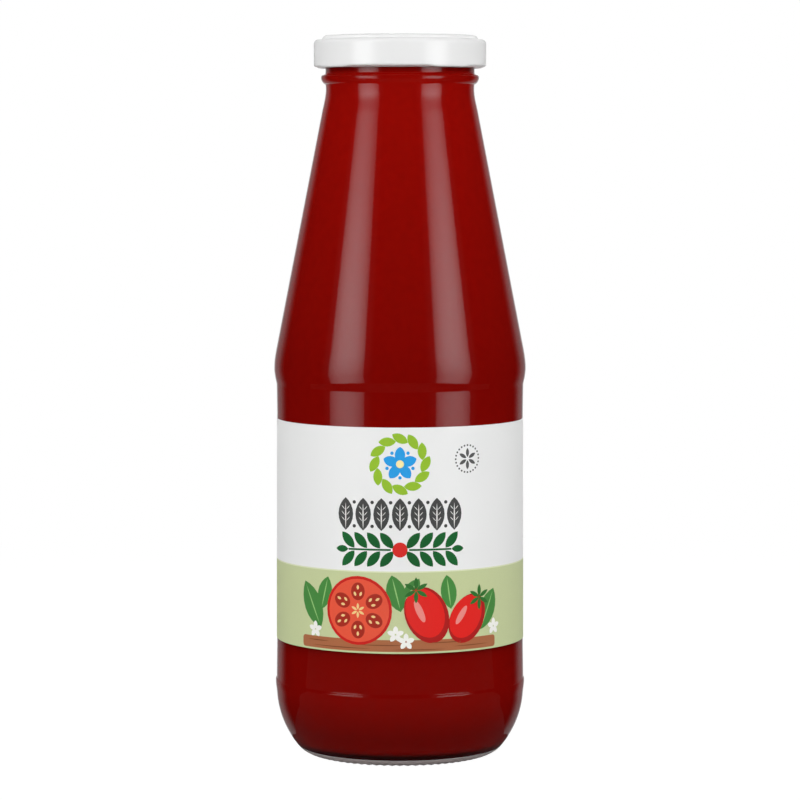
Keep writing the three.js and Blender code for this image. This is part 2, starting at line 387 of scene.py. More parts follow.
def noise(material, size, detail):
    """Noise on Object coordinates whose features are about size across."""
    nodes, links = material.node_tree.nodes, material.node_tree.links
    place = nodes.new("ShaderNodeTexCoord")
    texture = nodes.new("ShaderNodeTexNoise")
    texture.inputs["Scale"].default_value = 1 / size
    texture.inputs["Detail"].default_value = detail
    links.new(place.outputs["Object"], texture.inputs["Vector"])
    return texture.outputs["Fac"]


def bump(material, height, depth):
    """Raises the surface by the height texture, depth from its lowest to its highest."""
    nodes, links = material.node_tree.nodes, material.node_tree.links
    relief = nodes.new("ShaderNodeBump")
    relief.inputs["Distance"].default_value = depth
    links.new(height, relief.inputs["Height"])
    links.new(relief.outputs["Normal"], nodes["Principled BSDF"].inputs["Normal"])


clear_glass, _ = new_material("clear_glass", {
    "Base Color": (0.955, 0.975, 0.965, 1), "Roughness": 0.012,
    "IOR": 1.5, "Transmission Weight": 1,
})
bump(clear_glass, noise(clear_glass, size=22 * MM, detail=1), depth=0.03 * MM)
glass.data.materials.append(clear_glass)

stippled_glass, _ = new_material("stippled_glass", {
    "Base Color": (0.94, 0.82, 0.80, 1), "Roughness": 0.55,
    "IOR": 1.5, "Transmission Weight": 0.5,
})
bump(stippled_glass, noise(stippled_glass, size=0.5 * MM, detail=2), depth=0.05 * MM)
glass.data.materials.append(stippled_glass)
choose(glass, lambda vertex: vertex.co.z < STIPPLE_TOP and math.hypot(*vertex.co.xy) > KNURL_INSIDE)
glass.active_material_index = 1
bpy.ops.object.material_slot_assign()
bpy.ops.object.mode_set(mode="OBJECT")
glass.visible_shadow = glass.visible_diffuse = False
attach(glass, "root")
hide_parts("bottle_glass")

# The passata: tomatoes cooked, sieved smooth and filled hot to just under the lip. It wets the
# glass all over, so its surface lies just within the wall.
PASSATA_SUNK = 0.15 * MM
MENISCUS = 0.5 * MM
PASSATA_COLUMNS = 192
passata_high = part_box("passata")[1]

passata, pen = start_outline("passata_fill", 0, FLOOR_CENTRE - PASSATA_SUNK)
pen = inside_wall(pen, PASSATA_SUNK)
fill_radius = MOUTH_RADIUS - NECK_WALL + PASSATA_SUNK
pen = line_to(pen, fill_radius, passata_high.z, steps=2)
pen = line_to(pen, fill_radius - MENISCUS, passata_high.z - MENISCUS / 2)
pen = line_to(pen, fill_radius - 3 * MENISCUS, passata_high.z - MENISCUS)
pen = line_to(pen, 0, passata_high.z - MENISCUS, steps=5)
turn_full(PASSATA_COLUMNS)
shade(sharp_deg=50)


def coordinates(owner, output):
    """The three coordinates of a place, as sockets of a material or of the world."""
    nodes, links = owner.node_tree.nodes, owner.node_tree.links
    split = nodes.new("ShaderNodeSeparateXYZ")
    links.new(nodes.new("ShaderNodeTexCoord").outputs[output], split.inputs["Vector"])
    return split.outputs


def join(owner, sockets, values):
    """Gives each socket its value, which is a number or another node's socket."""
    for socket, value in zip(sockets, values):
        if isinstance(value, (int, float)):
            socket.default_value = value
        else:
            owner.node_tree.links.new(value, socket)


def sums(owner, operation, *values, clamp=False):
    """One step of arithmetic in a material or in the world."""
    step = owner.node_tree.nodes.new("ShaderNodeMath")
    step.operation = operation
    step.use_clamp = clamp
    join(owner, step.inputs, values)
    return step.outputs["Value"]


def ramp(material, value, stops):
    """A grey ramp through stops, each a place and a level from 0 to 1."""
    node = material.node_tree.nodes.new("ShaderNodeValToRGB")
    elements = node.color_ramp.elements
    elements.remove(elements[1])
    elements[0].position = stops[0][0]
    elements[0].color = (stops[0][1],) * 3 + (1,)
    for place, level in stops[1:]:
        elements.new(place).color = (level,) * 3 + (1,)
    material.node_tree.links.new(value, node.inputs["Fac"])
    return node.outputs["Color"]


# The pulp's two reds, and the light and shade painted into its colour at each height in
# millimetres: painted light at the very foot, where light comes in from below, painted shade just
# over it, and painted light again up the cone.
DEEP_RED = (0.172, 0.0018, 0.0008, 1)
BRIGHT_RED = (0.216, 0.0025, 0.0011, 1)
PULP_PAINTED_LIGHT = ((4.6, 1.85), (6.5, 0.9), (10, 0.76), (24, 1), (128, 1), (216, 1.43))
PULP_PAINTED_LIGHT_RANGE = 2
tomato_passata, inputs = new_material(
    "tomato_passata", {"Roughness": 0.42, "Specular IOR Level": 0}
)
nodes, links = tomato_passata.node_tree.nodes, tomato_passata.node_tree.links
pulp = nodes.new("ShaderNodeMix")
pulp.data_type = "RGBA"
pulp.inputs["A"].default_value = DEEP_RED
pulp.inputs["B"].default_value = BRIGHT_RED
links.new(noise(tomato_passata, size=2.5 * MM, detail=4), pulp.inputs["Factor"])
up = coordinates(tomato_passata, "Object")["Z"]
height_share = sums(tomato_passata, "DIVIDE", up, LIP_HEIGHT)
tones = [(height * MM / LIP_HEIGHT, tone / PULP_PAINTED_LIGHT_RANGE) for height, tone in PULP_PAINTED_LIGHT]
# Painted light and shade: the pulp's reds are multiplied by the ramp over height, standing in for
# how light falls on it.
painted_pulp = nodes.new("ShaderNodeVectorMath")
painted_pulp.operation = "MULTIPLY"
links.new(pulp.outputs["Result"], painted_pulp.inputs[0])
links.new(ramp(tomato_passata, height_share, tones), painted_pulp.inputs[1])
painted_pulp_scaled = nodes.new("ShaderNodeVectorMath")
painted_pulp_scaled.operation = "SCALE"
painted_pulp_scaled.inputs["Scale"].default_value = PULP_PAINTED_LIGHT_RANGE
links.new(painted_pulp.outputs["Vector"], painted_pulp_scaled.inputs["Vector"])
links.new(painted_pulp_scaled.outputs["Vector"], inputs["Base Color"])
bump(tomato_passata, noise(tomato_passata, size=0.7 * MM, detail=2), depth=0.02 * MM)
passata.data.materials.append(tomato_passata)
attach(passata, "root")
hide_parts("passata")

# The cap: tinplate pressed to shape, lacquered white and turned on over the thread. Its rim is
# curled in and pressed into four lugs, a bead stiffens the top, and a button sits in the middle.
cap_low, cap_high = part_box("cap")
CAP_COLUMNS = 240
CAP_RADIUS = cap_high.x
SHEET = 0.5 * MM
CAP_SHOULDER = 232.54 * MM
CAP_EDGE = 1.55 * MM
CAP_PANEL = 232.24 * MM
CURL_DEPTH = 1.65 * MM
CURL_TOP = cap_low.z + 1.9 * MM
LUGS = 4
LUG_FIRST_DEG = -8
LUG_FLAT_DEG = 26
LUG_END_DEG = 35
LUG_LIFT = 0.36 * MM
LUG_REACH = 1.0 * MM
LUG_SKIN = 0.1 * MM
BEAD_RADIUS = 23.75 * MM
BEAD_HALF_WIDTH = 1.45 * MM
BEAD_FOOT_SHARE = 1.12
BEAD_TURNS_DEG = range(20, 180, 10)
LINER_INNER = 21.1 * MM
BUTTON_RADIUS = 10.2 * MM
BUTTON_EDGE = 1.4 * MM
BUTTON_RISE = 0.45 * MM
BUTTON_DIP = 0.25 * MM
BUTTON_SLOPE = -6
CURL_FROM_DEG = 140
CURL_TURN_DEG = 220

underside = CAP_PANEL - SHEET
skirt_inside = CAP_RADIUS - SHEET
curl_centre = (CAP_RADIUS - CURL_DEPTH / 2, cap_low.z + CURL_DEPTH / 2)
cap, pen = start_outline("twist_off_cap", 0, underside + BUTTON_RISE - BUTTON_DIP)
pen = line_to(pen, BUTTON_RADIUS, underside + BUTTON_RISE, steps=3)
pen = line_to(pen, BUTTON_RADIUS + BUTTON_EDGE, underside)
pen = line_to(pen, LINER_INNER, underside)
pen = line_to(pen, LINER_INNER + SHEET, LIP_HEIGHT)
pen = line_to(pen, skirt_inside - SHEET, LIP_HEIGHT)
pen = line_to(pen, skirt_inside, LIP_HEIGHT - SHEET)
pen = line_to(pen, skirt_inside, CURL_TOP, steps=3)
turn = math.radians(CURL_FROM_DEG)
bend = CURL_DEPTH / 2
curl_start = (curl_centre[0] + bend * math.cos(turn), curl_centre[1] + bend * math.sin(turn))
pen = line_to(pen, *curl_start)
pen = arc_about(pen, curl_centre, CURL_TURN_DEG, steps=22)
pen = line_to(pen, CAP_RADIUS, CAP_SHOULDER - CAP_EDGE, steps=4)
pen = arc_about(pen, (CAP_RADIUS - CAP_EDGE, CAP_SHOULDER - CAP_EDGE), 90, steps=10)
pen = line_to(pen, BEAD_RADIUS + BEAD_HALF_WIDTH * BEAD_FOOT_SHARE, CAP_SHOULDER)
for turn_deg in BEAD_TURNS_DEG:
    turn = math.radians(turn_deg)
    foot = CAP_SHOULDER if turn_deg < 90 else CAP_PANEL
    rise = (cap_high.z - foot) * math.sin(turn)
    pen = line_to(pen, BEAD_RADIUS + BEAD_HALF_WIDTH * math.cos(turn), foot + rise)
pen = line_to(pen, BEAD_RADIUS - BEAD_HALF_WIDTH * BEAD_FOOT_SHARE, CAP_PANEL)
pen = line_to(pen, BUTTON_RADIUS + BUTTON_EDGE, CAP_PANEL, steps=3)
pen = ease_to(pen, BUTTON_RADIUS, CAP_PANEL + BUTTON_RISE, BUTTON_SLOPE, BUTTON_SLOPE, steps=6)
pen = line_to(pen, 0, CAP_PANEL + BUTTON_RISE - BUTTON_DIP, steps=5)
turn_full(CAP_COLUMNS)


def lug_share(place):
    """How far the rim is pressed into a lug at a place: fully in the middle of each."""
    off = abs(off_nearest(place, LUGS, LUG_FIRST_DEG))
    return smooth((LUG_END_DEG - off) / (LUG_END_DEG - LUG_FLAT_DEG))


def lug_nose(place):
    """The inner half of the curl, which is squeezed out under the thread."""
    inward = (curl_centre[0] - math.hypot(place.x, place.y)) / (CURL_DEPTH / 2)
    return lug_share(place) * smooth(inward) if place.z < CURL_TOP + LUG_SKIN else 0


def lug_lift(place):
    """The foot of the curl, which rises where it is squeezed."""
    low = (CURL_TOP + CURL_DEPTH - place.z) / (CURL_DEPTH * 2)
    return lug_share(place) * smooth(low)


push(cap, LUG_REACH, lug_nose)
push(cap, LUG_LIFT, lug_lift, "Z")
shade(sharp_deg=50)

white_lacquer, _ = new_material("white_lacquer", {
    "Base Color": (0.862, 0.864, 0.862, 1), "Roughness": 0.13,
    "Specular IOR Level": 0.72, "Sheen Weight": 0.4,
})
bump(white_lacquer, noise(white_lacquer, size=1.6 * MM, detail=2), depth=0.004 * MM)
cap.data.materials.append(white_lacquer)
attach(cap, "root")
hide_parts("cap")

# The label: one sheet of coated white paper, wrapped once round the straight part of the body
# and glued down where its end laps over its start at the back.
label_low, label_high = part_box("label")
LABEL_LOW = label_low.z
LABEL_HIGH = label_high.z
PAPER = 0.12 * MM
LABEL_COLUMNS = 288
LAP_AT_DEG = 168
LAP_DEG = 8.75
LAP_COLUMNS = 7
LAP_RAMP_DEG = 1.3
LAP_GLUE = 0.05 * MM
body_taper = (PANEL_TOP[0] - PANEL_FOOT[0]) / (PANEL_TOP[1] - PANEL_FOOT[1])


def body_radius(height):
    """The glass's radius at a height on the panel that carries the label."""
    return PANEL_FOOT[0] + body_taper * (height - PANEL_FOOT[1])


def wrapped_band(name, low, high, inside, thickness):
    """A band of sheet round the body, from low to high, whose end laps over its start."""
    bpy.ops.object.select_all(action="DESELECT")
    middle = (low + high) / 2
    bpy.ops.mesh.primitive_plane_add(size=1, rotation=(math.pi / 2, 0, 0))
    band = bpy.context.object
    band.name = band.data.name = name
    bpy.ops.object.transform_apply(location=True, rotation=True, scale=True)
    bpy.ops.object.mode_set(mode="EDIT")
    bpy.ops.transform.resize(value=(thickness, 1, high - low))
    bpy.ops.transform.translate(value=(body_radius(middle) + inside + thickness / 2, 0, middle))
    lap_at = math.radians(LAP_AT_DEG)
    for turn, axis, centre in (
        (-math.atan(body_taper), "Y", (body_radius(middle), 0, middle)),
        (math.radians(90) - lap_at, "Z", (0, 0, 0)),
    ):
        bpy.ops.transform.rotate(value=turn, orient_axis=axis, center_override=centre)
    lap_out = mathutils.Vector((math.sin(lap_at), -math.cos(lap_at), 0))
    for steps, degrees, lift in (
        (LABEL_COLUMNS, 360 - LAP_RAMP_DEG, 0),
        (1, LAP_RAMP_DEG, PAPER + LAP_GLUE),
        (LAP_COLUMNS, LAP_DEG, 0),
    ):
        bpy.ops.mesh.spin(
            steps=steps,
            angle=math.radians(degrees),
            center=(0, 0, 0),
            axis=(0, 0, 1),
            use_auto_merge=False,
        )
        bpy.ops.transform.translate(value=lap_out * lift)
    bpy.ops.mesh.select_all(action="SELECT")
    bpy.ops.mesh.normals_make_consistent(inside=False)
    bpy.ops.object.mode_set(mode="OBJECT")
    shade(sharp_deg=40)
    return band


paper = wrapped_band("label_paper", LABEL_LOW, LABEL_HIGH, 0, PAPER)
label_paper, _ = new_material("label_paper", {
    "Base Color": (0.87, 0.875, 0.87, 1), "Roughness": 0.38, "Sheen Weight": 0.5,
})
bump(label_paper, noise(label_paper, size=0.4 * MM, detail=3), depth=0.004 * MM)
paper.data.materials.append(label_paper)
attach(paper, "root")
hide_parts("label")

# The print on the label: a sage field along the foot with a pale line over it, all of it flat
# offset inks. Each ink is a film of its own over the paper, in layers where one overprints another.
INK = 0.03 * MM
INK_SUNK = 0.01 * MM
INK_COLUMN = 1.25 * MM
LABEL_MIDDLE = (LABEL_LOW + LABEL_HIGH) / 2
FIELD_TOP = 63.86 * MM
FIELD_LINE = 0.4 * MM
GRAIN_SIZE = 0.35 * MM
GRAIN_DEPTH = 0.003 * MM
INK_DENSITY = (0.95, 1.05)

print_grain = bpy.data.node_groups.new("print_grain", "ShaderNodeTree")
print_grain.interface.new_socket("Color", in_out="INPUT", socket_type="NodeSocketColor")
print_grain.interface.new_socket("Color", in_out="OUTPUT", socket_type="NodeSocketColor")
print_grain.interface.new_socket("Normal", in_out="OUTPUT", socket_type="NodeSocketVector")
nodes, links = print_grain.nodes, print_grain.links
entry = nodes.new("NodeGroupInput")
result = nodes.new("NodeGroupOutput")
place = nodes.new("ShaderNodeTexCoord")
specks = nodes.new("ShaderNodeTexNoise")
specks.inputs["Scale"].default_value = 1 / GRAIN_SIZE
specks.inputs["Detail"].default_value = 3
links.new(place.outputs["Object"], specks.inputs["Vector"])
density = nodes.new("ShaderNodeMapRange")
density.inputs["To Min"].default_value, density.inputs["To Max"].default_value = INK_DENSITY
links.new(specks.outputs["Fac"], density.inputs["Value"])
inked = nodes.new("ShaderNodeVectorMath")
inked.operation = "SCALE"
links.new(entry.outputs["Color"], inked.inputs["Vector"])
links.new(density.outputs["Result"], inked.inputs["Scale"])
links.new(inked.outputs["Vector"], result.inputs["Color"])
relief = nodes.new("ShaderNodeBump")
relief.inputs["Distance"].default_value = GRAIN_DEPTH
links.new(specks.outputs["Fac"], relief.inputs["Height"])
links.new(relief.outputs["Normal"], result.inputs["Normal"])


def linear(tone):
    """The share of light in an sRGB tone from 0 to 255."""
    return ((tone / 255 + 0.055) / 1.055) ** 2.4


def print_in(piece, name, red, green, blue):
    """Gives a film its ink, in the sRGB tones that it shows, and mounts it on the label."""
    material, inputs = new_material(name, {"Roughness": 0.5, "Specular IOR Level": 0.25})
    grain = material.node_tree.nodes.new("ShaderNodeGroup")
    grain.node_tree = print_grain
    grain.inputs["Color"].default_value = (linear(red), linear(green), linear(blue), 1)
    material.node_tree.links.new(grain.outputs["Color"], inputs["Base Color"])
    material.node_tree.links.new(grain.outputs["Normal"], inputs["Normal"])
    piece.data.materials.append(material)
    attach(piece, "root")
    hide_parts("label")


sage = wrapped_band("sage_field", LABEL_LOW, FIELD_TOP, PAPER - INK_SUNK, INK + INK_SUNK)
print_in(sage, "sage_ink", 199, 209, 158)
line_top = FIELD_TOP + FIELD_LINE
field_line = wrapped_band("field_line", FIELD_TOP, line_top, PAPER - INK_SUNK, INK + INK_SUNK)
print_in(field_line, "pale_line_ink", 224, 229, 196)

# The emblem: a five-petalled blue blossom inside a wreath of lime leaves, printed near the top,
# with a small charcoal rosette of dots and leaves to one side of it.
EMBLEM_HEIGHT = 98.3 * MM
PETALS = 5
PETALS_AT = 2.9 * MM
SPOTS_AT = -4.3 * MM
WREATH_LEAVES = 12
WREATH_RADIUS = 8.1 * MM
ROSETTE_AT = (22.5 * MM, 99.5 * MM)
ROSETTE_RADIUS = 4.3 * MM
ROSETTE_DOTS = 24
ROSETTE_LEAVES = 6
ROSETTE_LEAVES_AT = 1.95 * MM
PEN_GAP = 0.01 * MM


def start_print(name):
    """A new piece to draw print on, flat in the XZ plane, empty and in edit mode."""
    piece = start_plane(name)
    bpy.ops.mesh.delete(type="VERT")
    return piece


def pen_at(across, up):
    """Sets the pen down for another outline of the same piece."""
    bpy.ops.mesh.select_all(action="DESELECT")
    bpy.ops.mesh.primitive_plane_add(size=MM)
    bpy.ops.mesh.merge(type="CENTER")
    bpy.ops.transform.translate(value=(across, 0, up))
    return (across, up)


def fill_outline():
    """Closes the outline just drawn and fills it."""
    bpy.ops.mesh.select_linked()
    bpy.ops.mesh.remove_doubles(threshold=PEN_GAP)
    bpy.ops.mesh.edge_face_add()


def turn_drawn(degrees, across, up):
    """Turns what is selected counterclockwise about a point, as seen from the front."""
    bpy.ops.transform.rotate(
        value=math.radians(degrees), orient_axis="Y", center_override=(across, 0, up)
    )


def disc(across, up, radius, tall=1, turn=0):
    """A filled circle, or an oval that is tall times as high as it is wide, turned."""
    bpy.ops.mesh.select_all(action="DESELECT")
    at = (across, 0, up)
    upright = (math.pi / 2, 0, 0)
    bpy.ops.mesh.primitive_circle_add(
        vertices=32, radius=radius, fill_type="NGON", rotation=upright, location=at
    )
    bpy.ops.transform.resize(value=(1, 1, tall), center_override=at)
    turn_drawn(turn, across, up)


def leaf(across, up, length, width, turn=0):
    """A leaf pointed at both ends, upright and then turned."""
    half = length / 2
    bow = (half * half + width * width / 4) / width
    off = bow - width / 2
    sweep = 2 * math.degrees(math.asin(half / bow))
    pen = pen_at(across, up - half)
    pen = arc_about(pen, (across - off, up), sweep, steps=8)
    arc_about(pen, (across + off, up), sweep, steps=8)
    fill_outline()
    turn_drawn(turn, across, up)


def copy_round(count, across, up):
    """Copies what is selected to the other places of a ring."""
    for _ in range(count - 1):
        bpy.ops.mesh.duplicate()
        turn_drawn(360 / count, across, up)


def wrap_on(piece, layer):
    """Wraps a flat drawing round the label as a film, on the given layer over the paper."""
    bpy.ops.object.mode_set(mode="OBJECT")
    places = [vertex.co.x for vertex in piece.data.vertices]
    bpy.ops.object.mode_set(mode="EDIT")
    for column in range(math.ceil(min(places) / INK_COLUMN), math.ceil(max(places) / INK_COLUMN)):
        bpy.ops.mesh.select_all(action="SELECT")
        bpy.ops.mesh.bisect(plane_co=(column * INK_COLUMN, 0, 0), plane_no=(1, 0, 0))
    bpy.ops.mesh.select_all(action="SELECT")
    under = PAPER + (layer - 1) * INK - INK_SUNK
    bpy.ops.transform.translate(value=(0, -under, 0))
    bpy.ops.mesh.extrude_region_move(TRANSFORM_OT_translate={"value": (0, -INK - INK_SUNK, 0)})
    bpy.ops.mesh.select_all(action="SELECT")
    bpy.ops.mesh.normals_make_consistent(inside=False)
    bpy.ops.transform.rotate(
        value=-math.atan(body_taper), orient_axis="X", center_override=(0, 0, LABEL_MIDDLE)
    )
    bpy.ops.object.mode_set(mode="OBJECT")
    radius = body_radius(LABEL_MIDDLE)
    bend = piece.modifiers.new("wrap", "SIMPLE_DEFORM")
    bend.deform_method = "BEND"
    bend.deform_axis = "Z"
    bend.angle = piece.dimensions.x / radius
    bpy.ops.object.modifier_apply(modifier=bend.name)
    bpy.ops.transform.translate(value=(0, -radius, 0))
    bpy.ops.object.transform_apply(location=True, rotation=True, scale=True)
    shade(sharp_deg=40)


def print_on(piece, layer, ink, red, green, blue):
    """Wraps a drawing round the label and gives it its ink."""
    wrap_on(piece, layer)
    print_in(piece, ink, red, green, blue)


wreath = start_print("wreath")
leaf(0, EMBLEM_HEIGHT + WREATH_RADIUS, length=5.6 * MM, width=2.9 * MM, turn=62)
copy_round(WREATH_LEAVES, 0, EMBLEM_HEIGHT)
print_on(wreath, 1, "lime_ink", 151, 195, 39)

blossom = start_print("blossom")
leaf(0, EMBLEM_HEIGHT + PETALS_AT, length=5.2 * MM, width=3.3 * MM)
copy_round(PETALS, 0, EMBLEM_HEIGHT)
disc(0, EMBLEM_HEIGHT + SPOTS_AT, radius=0.55 * MM)
copy_round(PETALS, 0, EMBLEM_HEIGHT)
print_on(blossom, 1, "blue_ink", 25, 160, 235)

blossom_eye = start_print("blossom_eye")
disc(0, EMBLEM_HEIGHT, radius=1.25 * MM)
print_on(blossom_eye, 2, "blossom_eye_ink", 250, 236, 170)

rosette = start_print("rosette")
across, up = ROSETTE_AT
disc(across, up + ROSETTE_RADIUS, radius=0.3 * MM)
copy_round(ROSETTE_DOTS, *ROSETTE_AT)
leaf(across, up + ROSETTE_LEAVES_AT, length=2.9 * MM, width=1.15 * MM)
copy_round(ROSETTE_LEAVES, *ROSETTE_AT)
print_on(rosette, 1, "rosette_ink", 84, 84, 84)

# Two borders of leaves under the emblem, in flat inks: a row of upright charcoal leaves with pale
# veins and dots between them, and a green garland of paired leaves with a red fruit in its middle.
CHARCOAL_HEIGHT = 82.3 * MM
CHARCOAL_LEAVES = 7
CHARCOAL_PITCH = 5.9 * MM
CHARCOAL_DOTS_AT = 3.8 * MM
VEIN_LOW = 0.6 * MM
SIDE_VEINS_AT = (-1.6 * MM, 0.2 * MM, 2.0 * MM)
SIDE_VEIN_OUT = 0.85 * MM
GARLAND_HEIGHT = 71.1 * MM
GARLAND_PITCH = 4.2 * MM
GARLAND_PAIRS = 4
GARLAND_FIRST = 4.2 * MM
GARLAND_LEAVES_AT = 2.95 * MM
GARLAND_TIP = 18.9 * MM
STEM = (2.9 * MM, 16.7 * MM)
STEM_HALF = 0.3 * MM


def copy_along(count, step):
    """Copies what is selected further along, one step at a time."""
    for _ in range(count - 1):
        bpy.ops.mesh.duplicate()
        bpy.ops.transform.translate(value=(step, 0, 0))


def copy_mirrored():
    """Copies everything drawn so far to the other side of the middle."""
    bpy.ops.mesh.select_all(action="SELECT")
    bpy.ops.mesh.duplicate()
    bpy.ops.transform.resize(value=(-1, 1, 1), center_override=(0, 0, 0))


first_leaf = -(CHARCOAL_LEAVES - 1) / 2 * CHARCOAL_PITCH
charcoal = start_print("charcoal_leaves")
leaf(first_leaf, CHARCOAL_HEIGHT, length=10.4 * MM, width=5.1 * MM)
copy_along(CHARCOAL_LEAVES, CHARCOAL_PITCH)
for side in (-1, 1):
    dots_height = CHARCOAL_HEIGHT + CHARCOAL_DOTS_AT * side
    disc(first_leaf + CHARCOAL_PITCH / 2, dots_height, radius=0.55 * MM)
    copy_along(CHARCOAL_LEAVES - 1, CHARCOAL_PITCH)
print_on(charcoal, 1, "charcoal_ink", 70, 70, 70)

veins = start_print("charcoal_leaf_veins")
leaf(first_leaf, CHARCOAL_HEIGHT - VEIN_LOW, length=8.2 * MM, width=0.42 * MM)
copy_along(CHARCOAL_LEAVES, CHARCOAL_PITCH)
for up in SIDE_VEINS_AT:
    for side in (-1, 1):
        across = first_leaf + SIDE_VEIN_OUT * side
        leaf(across, CHARCOAL_HEIGHT + up, length=1.7 * MM, width=0.22 * MM, turn=-42 * side)
        copy_along(CHARCOAL_LEAVES, CHARCOAL_PITCH)
print_on(veins, 2, "vein_ink", 236, 236, 232)

garland = start_print("garland")
for side in (-1, 1):
    up = GARLAND_HEIGHT + GARLAND_LEAVES_AT * side
    leaf(GARLAND_FIRST, up, length=6.5 * MM, width=2.9 * MM, turn=-40 * side)
    copy_along(GARLAND_PAIRS, GARLAND_PITCH)
leaf(GARLAND_TIP, GARLAND_HEIGHT, length=4.2 * MM, width=2.2 * MM, turn=90)
pen = pen_at(STEM[0], GARLAND_HEIGHT - STEM_HALF)
pen = line_to(pen, STEM[1], pen[1])
pen = line_to(pen, pen[0], GARLAND_HEIGHT + STEM_HALF)
pen = line_to(pen, STEM[0], pen[1])
fill_outline()
copy_mirrored()
print_on(garland, 1, "green_ink", 2, 98, 39)

garland_fruit = start_print("garland_fruit")
disc(0, GARLAND_HEIGHT, radius=2.4 * MM)
print_on(garland_fruit, 1, "fruit_ink", 222, 30, 20)

# The still life on the sage field, in flat inks over one another: a halved tomato and two plum
# tomatoes stand on a board, with basil leaves behind them and white blossoms at their feet. The
# tables give places across and up, sizes and turns in millimetres and degrees.
BOARD_LOW = LABEL_LOW + 0.6 * MM
BOARD_HIGH = 42.4 * MM
BOARD_ENDS = (-35 * MM, 34 * MM)
BOARD_CORNER = 1 * MM
BOARD_GRAIN = (
    (-20, 39.6, 22), (6, 39.3, 18), (24, 40.0, 14), (-6, 40.7, 16), (-28, 41.2, 9), (16, 41.4, 15),
)
SLICE_AT = (-13.5 * MM, 51.6 * MM)
SLICE_RADIUS = 11 * MM
SLICE_SKIN = 0.9 * MM
CHAMBERS = 6
CHAMBERS_AT = 6.1 * MM
SEEDS = ((-0.95, 5.3, 22), (0.95, 5.3, -22), (0, 7.4, 0))
STAR_AT = 1.35 * MM
CALYX_LEAVES = 6
CALYX_LEAVES_AT = 2.15 * MM
CALYX_SHARE = 0.93
BLOSSOMS = ((-29.2, 44.6), (-1.4, 44.2), (1.9, 41.9), (33.2, 45.2))
BLOSSOM_PETALS_AT = 1.45 * MM
PLUMS = ((8.6, 50.3, 6.9, 1.36, 24), (22.6, 48.6, 6.2, 1.36, -34))
PLUM_FRONT = (-0.55, 0.6, 0.87)
PLUM_LIGHT = (-2.4, 1.2, 0.16)
PLUM_LIGHT_TALL = 3.4
BASIL = (
    (-30.5, 52.5, 16, 7.6, 26), (-25.5, 56.5, 11, 5.4, -14), (-1.2, 57.2, 12, 6.2, 14),
    (3.6, 58.2, 9, 4.4, -34), (15.8, 57.4, 11, 5.4, 8), (30.5, 51.0, 14, 6.8, -24),
)
BASIL_RIB_SHARE = 0.84

board = start_print("board")
pen = pen_at(BOARD_ENDS[0] + BOARD_CORNER, BOARD_LOW)
for across, up, centre_across, centre_up in (
    (BOARD_ENDS[1] - BOARD_CORNER, BOARD_LOW, 0, 1),
    (BOARD_ENDS[1], BOARD_HIGH - BOARD_CORNER, -1, 0),
    (BOARD_ENDS[0] + BOARD_CORNER, BOARD_HIGH, 0, -1),
    (BOARD_ENDS[0], BOARD_LOW + BOARD_CORNER, 1, 0),
):
    pen = line_to(pen, across, up)
    centre = (pen[0] + BOARD_CORNER * centre_across, pen[1] + BOARD_CORNER * centre_up)
    pen = arc_about(pen, centre, 90, steps=4)
fill_outline()
print_on(board, 2, "board_ink", 173, 105, 66)

board_grain = start_print("board_grain")
for across, up, length in BOARD_GRAIN:
    leaf(across * MM, up * MM, length * MM, width=0.36 * MM, turn=90)
print_on(board_grain, 3, "board_grain_ink", 132, 74, 42)

basil = start_print("basil_leaves")
for across, up, length, width, turn in BASIL:
    leaf(across * MM, up * MM, length * MM, width * MM, turn)
print_on(basil, 2, "basil_ink", 70, 140, 62)

basil_ribs = start_print("basil_ribs")
for across, up, length, width, turn in BASIL:
    leaf(across * MM, up * MM, length * BASIL_RIB_SHARE * MM, width=0.42 * MM, turn=turn)
print_on(basil_ribs, 3, "basil_rib_ink", 150, 200, 120)

slice_skin = start_print("tomato_slice_skin")
disc(*SLICE_AT, SLICE_RADIUS)
print_on(slice_skin, 3, "tomato_skin_ink", 206, 22, 16)

slice_flesh = start_print("tomato_slice_flesh")
disc(*SLICE_AT, SLICE_RADIUS - SLICE_SKIN)
print_on(slice_flesh, 4, "tomato_flesh_ink", 232, 84, 56)

slice_across, slice_up = SLICE_AT
chambers = start_print("tomato_slice_chambers")
disc(slice_across, slice_up + CHAMBERS_AT, radius=2.25 * MM, tall=1.25)
copy_round(CHAMBERS, *SLICE_AT)
print_on(chambers, 5, "tomato_gel_ink", 170, 38, 20)

seeds = start_print("tomato_slice_seeds")
for across, up, turn in SEEDS:
    leaf(slice_across + across * MM, slice_up + up * MM, length=1.5 * MM, width=0.8 * MM, turn=turn)
    copy_round(CHAMBERS, *SLICE_AT)
leaf(slice_across, slice_up + STAR_AT, length=2.1 * MM, width=0.8 * MM)
copy_round(CHAMBERS, *SLICE_AT)
print_on(seeds, 6, "tomato_seed_ink", 242, 208, 140)

plums = start_print("plum_tomatoes")
for across, up, radius, tall, turn in PLUMS:
    disc(across * MM, up * MM, radius * MM, tall, turn)
print_on(plums, 3, "plum_shade_ink", 176, 14, 12)

plum_fronts = start_print("plum_tomato_fronts")
aside, higher, share = PLUM_FRONT
for across, up, radius, tall, turn in PLUMS:
    disc((across + aside) * MM, (up + higher) * MM, radius * share * MM, tall, turn)
print_on(plum_fronts, 4, "plum_tomato_ink", 228, 26, 18)

plum_lights = start_print("plum_tomato_lights")
aside, higher, share = PLUM_LIGHT
for across, up, radius, tall, turn in PLUMS:
    disc((across + aside) * MM, (up + higher) * MM, radius * share * MM, PLUM_LIGHT_TALL, turn)
print_on(plum_lights, 5, "plum_light_ink", 238, 140, 132)

